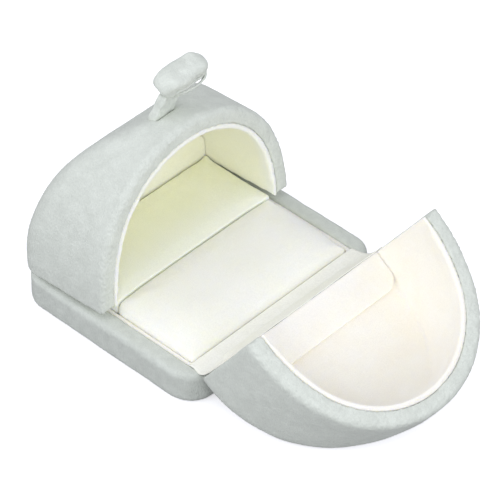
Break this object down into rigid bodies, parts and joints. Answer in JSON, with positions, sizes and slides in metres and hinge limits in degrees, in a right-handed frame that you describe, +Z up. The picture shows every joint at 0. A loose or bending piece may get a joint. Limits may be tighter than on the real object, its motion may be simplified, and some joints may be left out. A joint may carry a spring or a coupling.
{
  "type": "ring box",
  "caption": "Velvet ring box: shallow tray with a slotted ring cushion under a half-round lid split into two hinged half domes, the back one with a ribbon pull loop.",
  "frame": {"origin": "middle of the tray's underside, on the surface it stands on", "axes": "+Z up, -Y towards the opened front half of the lid, +X to the right seen from the front"},
  "size_m": [0.062, 0.1021, 0.0571],
  "materials": {
    "velvet": "short-pile velvet",
    "lining": "brushed flock lining cloth",
    "cushion": "foam covered in brushed cloth",
    "board": "greyboard, matte",
    "moulding": "moulded polystyrene, matte",
    "felt": "felt",
    "steel": "bright stamped steel",
    "ribbon": "woven ribbon"
  },
  "bodies": {
    "tray": {"tray_shell": "moulding", "tray_velvet": "velvet", "base_felt": "felt", "tray_lining": "lining", "cushion_card": "board", "front_cushion": "cushion", "back_cushion": "cushion", "front_rim_cloth": "lining", "back_rim_cloth": "lining", "front_hinge_tray_leaf": "steel", "front_hinge_pin": "steel", "front_hinge_snap_spring": "steel", "back_hinge_tray_leaf": "steel", "back_hinge_pin": "steel", "back_hinge_snap_spring": "steel"},
    "front_lid": {"front_lid_velvet": "velvet", "front_lid_shell": "moulding", "front_lid_arch_lining": "lining", "front_lid_panel_lining": "lining", "front_hinge_cover": "lining", "front_hinge_lid_leaf": "steel"},
    "back_lid": {"back_lid_velvet": "velvet", "back_lid_shell": "moulding", "back_lid_arch_lining": "lining", "back_lid_panel_lining": "lining", "back_hinge_cover": "lining", "back_hinge_lid_leaf": "steel", "strap_anchor": "steel", "strap_neck": "ribbon", "strap_loop": "ribbon"}
  },
  "joints": [
    {"name": "front_lid_hinge", "type": "hinge", "parent": "tray", "child": "front_lid", "pos_m": [0, -0.0281, 0.0092], "axis": [1, 0, 0], "range_deg": [-125.4, 0]},
    {"name": "back_lid_hinge", "type": "hinge", "parent": "tray", "child": "back_lid", "pos_m": [0, 0.0281, 0.0092], "axis": [-1, 0, 0], "range_deg": [-4, 106]}
  ]
}
